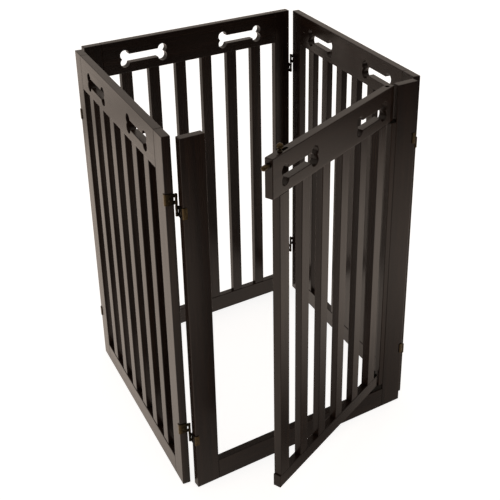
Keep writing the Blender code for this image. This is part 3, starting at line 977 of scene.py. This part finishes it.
def add_latch_knob():
    """A flattened ball on a collared stem that comes up through the slot."""
    collar_low = BOLT_DROP + HINGE_GAP
    collar_high = collar_low + KNOB_COLLAR_HEIGHT
    meets_stem = math.asin(KNOB_STEM_RADIUS / KNOB_RADIUS)
    ball_middle = BOLT_DROP + KNOB_RISE
    ball = []
    for height, radius in arc_profile(ball_middle, KNOB_RADIUS, meets_stem, math.pi, BALL_STEPS):
        below = min(height - ball_middle, 0)
        ball.append((height - below * (1 - KNOB_LOWER_FLATTEN), radius))
    ease = KNOB_COLLAR_EASE
    foot_high = collar_low + KNOB_COLLAR_FOOT
    profile = [
        (0, 0),
        (0, KNOB_STEM_RADIUS),
        (collar_low, KNOB_STEM_RADIUS),
        (collar_low, KNOB_COLLAR_RADIUS - ease),
        (collar_low + ease, KNOB_COLLAR_RADIUS),
        (foot_high, KNOB_COLLAR_RADIUS),
        (foot_high + ease, KNOB_COLLAR_RADIUS - KNOB_COLLAR_WAIST),
        (collar_high - ease, KNOB_COLLAR_RADIUS - KNOB_COLLAR_NECK),
        (collar_high, KNOB_STEM_RADIUS),
    ]
    place = AXES["door"] @ Matrix.Translation((DOOR_REACH - KNOB_SETBACK, 0, BOLT_Z))
    knob = finish_mesh("latch_knob", turned_mesh(profile + ball), place, BRONZE)
    set_wear(knob, lambda point: KNOB_WEAR if point.z > collar_high else 0)
    settle(knob, "latch_bolt", "bronze_hardware")


def box_plate(low, high, ease):
    """An eased metal plate between two corners, as a mesh about its middle."""
    size = high - low
    outer = rounded_rectangle(
        (-size.x / 2, -size.y / 2), (size.x / 2, size.y / 2), (ease, ease), (ease, ease)
    )
    return plate_mesh(outer, (), size.z, ease)


def add_pivot_brackets():
    """The plate above the post and the block below it, each with the door's pin."""
    axes = AXES["frame"]
    pivot = Vector(JOINTS["door_swing"]["pos_m"])
    pins = {"pivot_bracket_upper": TOP_PIN_RADIUS, "pivot_bracket_lower": LOW_PIN_RADIUS}
    for node, radius in pins.items():
        points = local_points(node, axes)
        low = Vector(points.min(0))
        high = Vector(points.max(0))
        outer_points = points[points[:, 0] > pivot.x + PIVOT_PIN_MARGIN]
        plate_high = Vector((high.x, high.y, outer_points[:, 2].max()))
        middle = (low + plate_high) / 2
        bm = box_plate(low, plate_high, METAL_EASE)
        obj = finish_mesh(node + "_plate", bm, axes @ Matrix.Translation(middle), STEEL)
        even_normals(settle(obj, "front_frame", "steel_pivots", node))
        base = low.z + METAL_EASE
        shoulder = high.z - PIVOT_PIN_CHAMFER
        profile = [(base, 0), (base, radius), (shoulder, radius)]
        profile += [(high.z, radius - PIVOT_PIN_CHAMFER), (high.z, 0)]
        place = axes @ Matrix.Translation((pivot.x, pivot.y, 0))
        pin = finish_mesh(node + "_pin", turned_mesh(profile), place, STEEL)
        settle(pin, "front_frame", "steel_pivots")


def add_foot_bracket():
    """A small steel angle in the corner of the hinge stile and the rail's end."""
    axes = AXES["door"]
    stile_low, _ = local_box("door_stile_hinge", axes)
    rail_low, rail_high = local_box("door_rail", axes)
    middle = FOOT_BRACKET_THICKNESS / 2 + GLUE_LINE
    corner = (stile_low.x - middle, rail_high.z + middle)
    tips = [(corner[0], rail_high.z + FOOT_BRACKET_HEIGHT), corner, (rail_low.x + METAL_EASE, corner[1])]
    half = FOOT_BRACKET_HALF_WIDTH
    bm = bmesh.new()
    for leg in (tips[:2], tips[1:]):
        part = [Vector(p) for p in thick_strip(leg, FOOT_BRACKET_THICKNESS)]
        if signed_area(part) < 0:
            part.reverse()
        add_mesh(bm, eased_prism(part, -half, half, METAL_EASE / 2), Matrix.Identity(4))
    turn = Matrix.Rotation(math.radians(90), 4, "X")
    bracket = finish_mesh("door_foot_bracket", bm, axes @ turn, STEEL)
    even_normals(settle(bracket, "door", "steel_pivots"))

    base = rail_high.z + GLUE_LINE + FOOT_BRACKET_THICKNESS
    shoulder = base + FOOT_NUT_HEIGHT - FOOT_NUT_RADIUS
    dome = arc_profile(shoulder, FOOT_NUT_RADIUS, math.pi / 2, math.pi, NUT_DOME_STEPS)
    profile = [(base, 0), (base, FOOT_NUT_RADIUS - METAL_EASE), (base + METAL_EASE, FOOT_NUT_RADIUS)]
    nut = finish_mesh("door_foot_nut", turned_mesh(profile + dome), axes, STEEL)
    settle(nut, "door", "steel_pivots")


# ---------------------------------------------------------------- the stage

def add_floor():
    """A plain white floor."""
    bm = bmesh.new()
    bmesh.ops.create_grid(bm, x_segments=1, y_segments=1, size=FLOOR_REACH)
    material, _, shader = new_material("pale_floor")
    shader.inputs["Base Color"].default_value = (*FLOOR_TONE, 1)
    shader.inputs["Roughness"].default_value = FLOOR_ROUGH
    shader.inputs["Specular IOR Level"].default_value = FLOOR_SPECULAR
    shader.inputs["Emission Color"].default_value = (1, 1, 1, 1)
    shader.inputs["Emission Strength"].default_value = FLOOR_GLOW
    floor = finish_mesh("floor", bm, Matrix.Identity(4), material)


def place_ramp(tree, value, stops):
    """A share that changes from place to place along one axis."""
    low, high = REFLECTION_SHADE_SPAN
    scaled = remap(tree, value, low, high, 0, 1)
    return colour_ramp(tree, scaled, *[((at - low) / (high - low), (share,) * 3) for at, share in stops])


def add_painted_reflection_shade():
    """A graded sheet over the floor that only reflections see. It paints shade and a warm tint into the
    floor's reflections, darker towards the front and the right, with a painted shadow pool in front of the
    doorway.
    """
    bm = bmesh.new()
    bmesh.ops.create_grid(bm, x_segments=1, y_segments=1, size=FLOOR_REACH)
    material, tree, shader = new_material("painted_reflection_shade")
    place = add_node(tree, "ShaderNodeTexCoord").outputs["Object"]
    axes = add_node(tree, "ShaderNodeSeparateXYZ")
    tree.links.new(place, axes.inputs[0])
    across = place_ramp(tree, axes.outputs["X"], PAINTED_REFLECTION_ALONG_X)
    along = place_ramp(tree, axes.outputs["Y"], PAINTED_REFLECTION_ALONG_Y)
    # Painted shadow pool in the floor's reflections, in front of the doorway.
    away = add_node(tree, "ShaderNodeVectorMath", operation="DISTANCE")
    tree.links.new(place, away.inputs[0])
    away.inputs[1].default_value = SHADE_CENTRE
    shade = falloff(tree, away.outputs["Value"], SHADE_START, SHADE_REACH)
    share = math_node(tree, "MULTIPLY", math_node(tree, "MULTIPLY", across, along), shade)
    tinted = add_node(tree, "ShaderNodeVectorMath", operation="SCALE")
    tinted.inputs[0].default_value = PAINTED_REFLECTION_TINT
    tree.links.new(share, tinted.inputs["Scale"])
    filtered = add_node(tree, "ShaderNodeBsdfTransparent")
    tree.links.new(tinted.outputs[0], filtered.inputs["Color"])
    tree.links.new(filtered.outputs[0], tree.nodes["Material Output"].inputs["Surface"])
    tree.nodes.remove(shader)
    reflection_shade_sheet = finish_mesh("reflection_shade_sheet", bm, Matrix.Translation((0, 0, REFLECTION_SHADE_HEIGHT)), material)
    reflection_shade_sheet.visible_camera = False
    reflection_shade_sheet.visible_diffuse = False
    reflection_shade_sheet.visible_transmission = False
    reflection_shade_sheet.visible_shadow = False


def add_world():
    """Soft light all round, strongest from above and behind, low from the front."""
    world = bpy.data.worlds.new("studio")
    world.use_nodes = True
    tree = world.node_tree
    direction = add_node(tree, "ShaderNodeTexCoord").outputs["Generated"]
    towards = add_node(tree, "ShaderNodeVectorMath", operation="DOT_PRODUCT")
    towards.inputs[1].default_value = LIGHT_FROM
    tree.links.new(direction, towards.inputs[0])
    share = falloff(tree, towards.outputs["Value"], *LIGHT_SPREAD)
    strength = remap(tree, share, 0, 1, LIGHT_LOW, LIGHT_HIGH)
    background = tree.nodes["Background"]
    background.inputs["Color"].default_value = (*LIGHT_TONE, 1)
    tree.links.new(strength, background.inputs["Strength"])
    bpy.context.scene.world = world


def add_camera():
    data = bpy.data.cameras.new("camera")
    obj = bpy.data.objects.new("camera", data)
    bpy.context.scene.collection.objects.link(obj)
    data.sensor_width = CAMERA_SENSOR
    data.lens = CAMERA_LENS
    data.shift_x, data.shift_y = CAMERA_SHIFT
    data.clip_start = CAMERA_NEAR
    data.clip_end = CAMERA_FAR
    obj.location = CAMERA_PLACE
    turn = Vector(CAMERA_AIM).to_track_quat("-Z", "Y")
    roll = Matrix.Rotation(math.radians(CAMERA_ROLL_DEG), 3, "Z")
    obj.rotation_euler = (turn.to_matrix() @ roll).to_euler()
    bpy.context.scene.camera = obj


def set_colours():
    bpy.context.scene.view_settings.view_transform = "Standard"
    bpy.context.scene.view_settings.look = "None"


# ---------------------------------------------------------------- build

add_camera()
add_front_frame()
for panel in ("left", "back", "right"):
    add_plain_panel(panel)
add_door()
add_latch_bolt()
add_latch_knob()
add_pivot_brackets()
add_foot_bracket()
ring = AXES["front_ring"]
add_corner_hinges("front_left", AXES["left"], "left_panel", 0, ring, "front_frame", PIN_TO_PIN)
add_corner_hinges("back_left", AXES["back"], "back_panel", 0, AXES["left"], "left_panel", PIN_TO_PIN)
add_corner_hinges(
    "back_right", AXES["right"], "right_panel", -PIN_TO_PIN, AXES["back"], "back_panel", PIN_TO_PIN
)
add_corner_hinges("front_right", ring, "front_frame", 0, AXES["right"], "right_panel", 0)
add_floor()
add_painted_reflection_shade()
add_world()
set_colours()
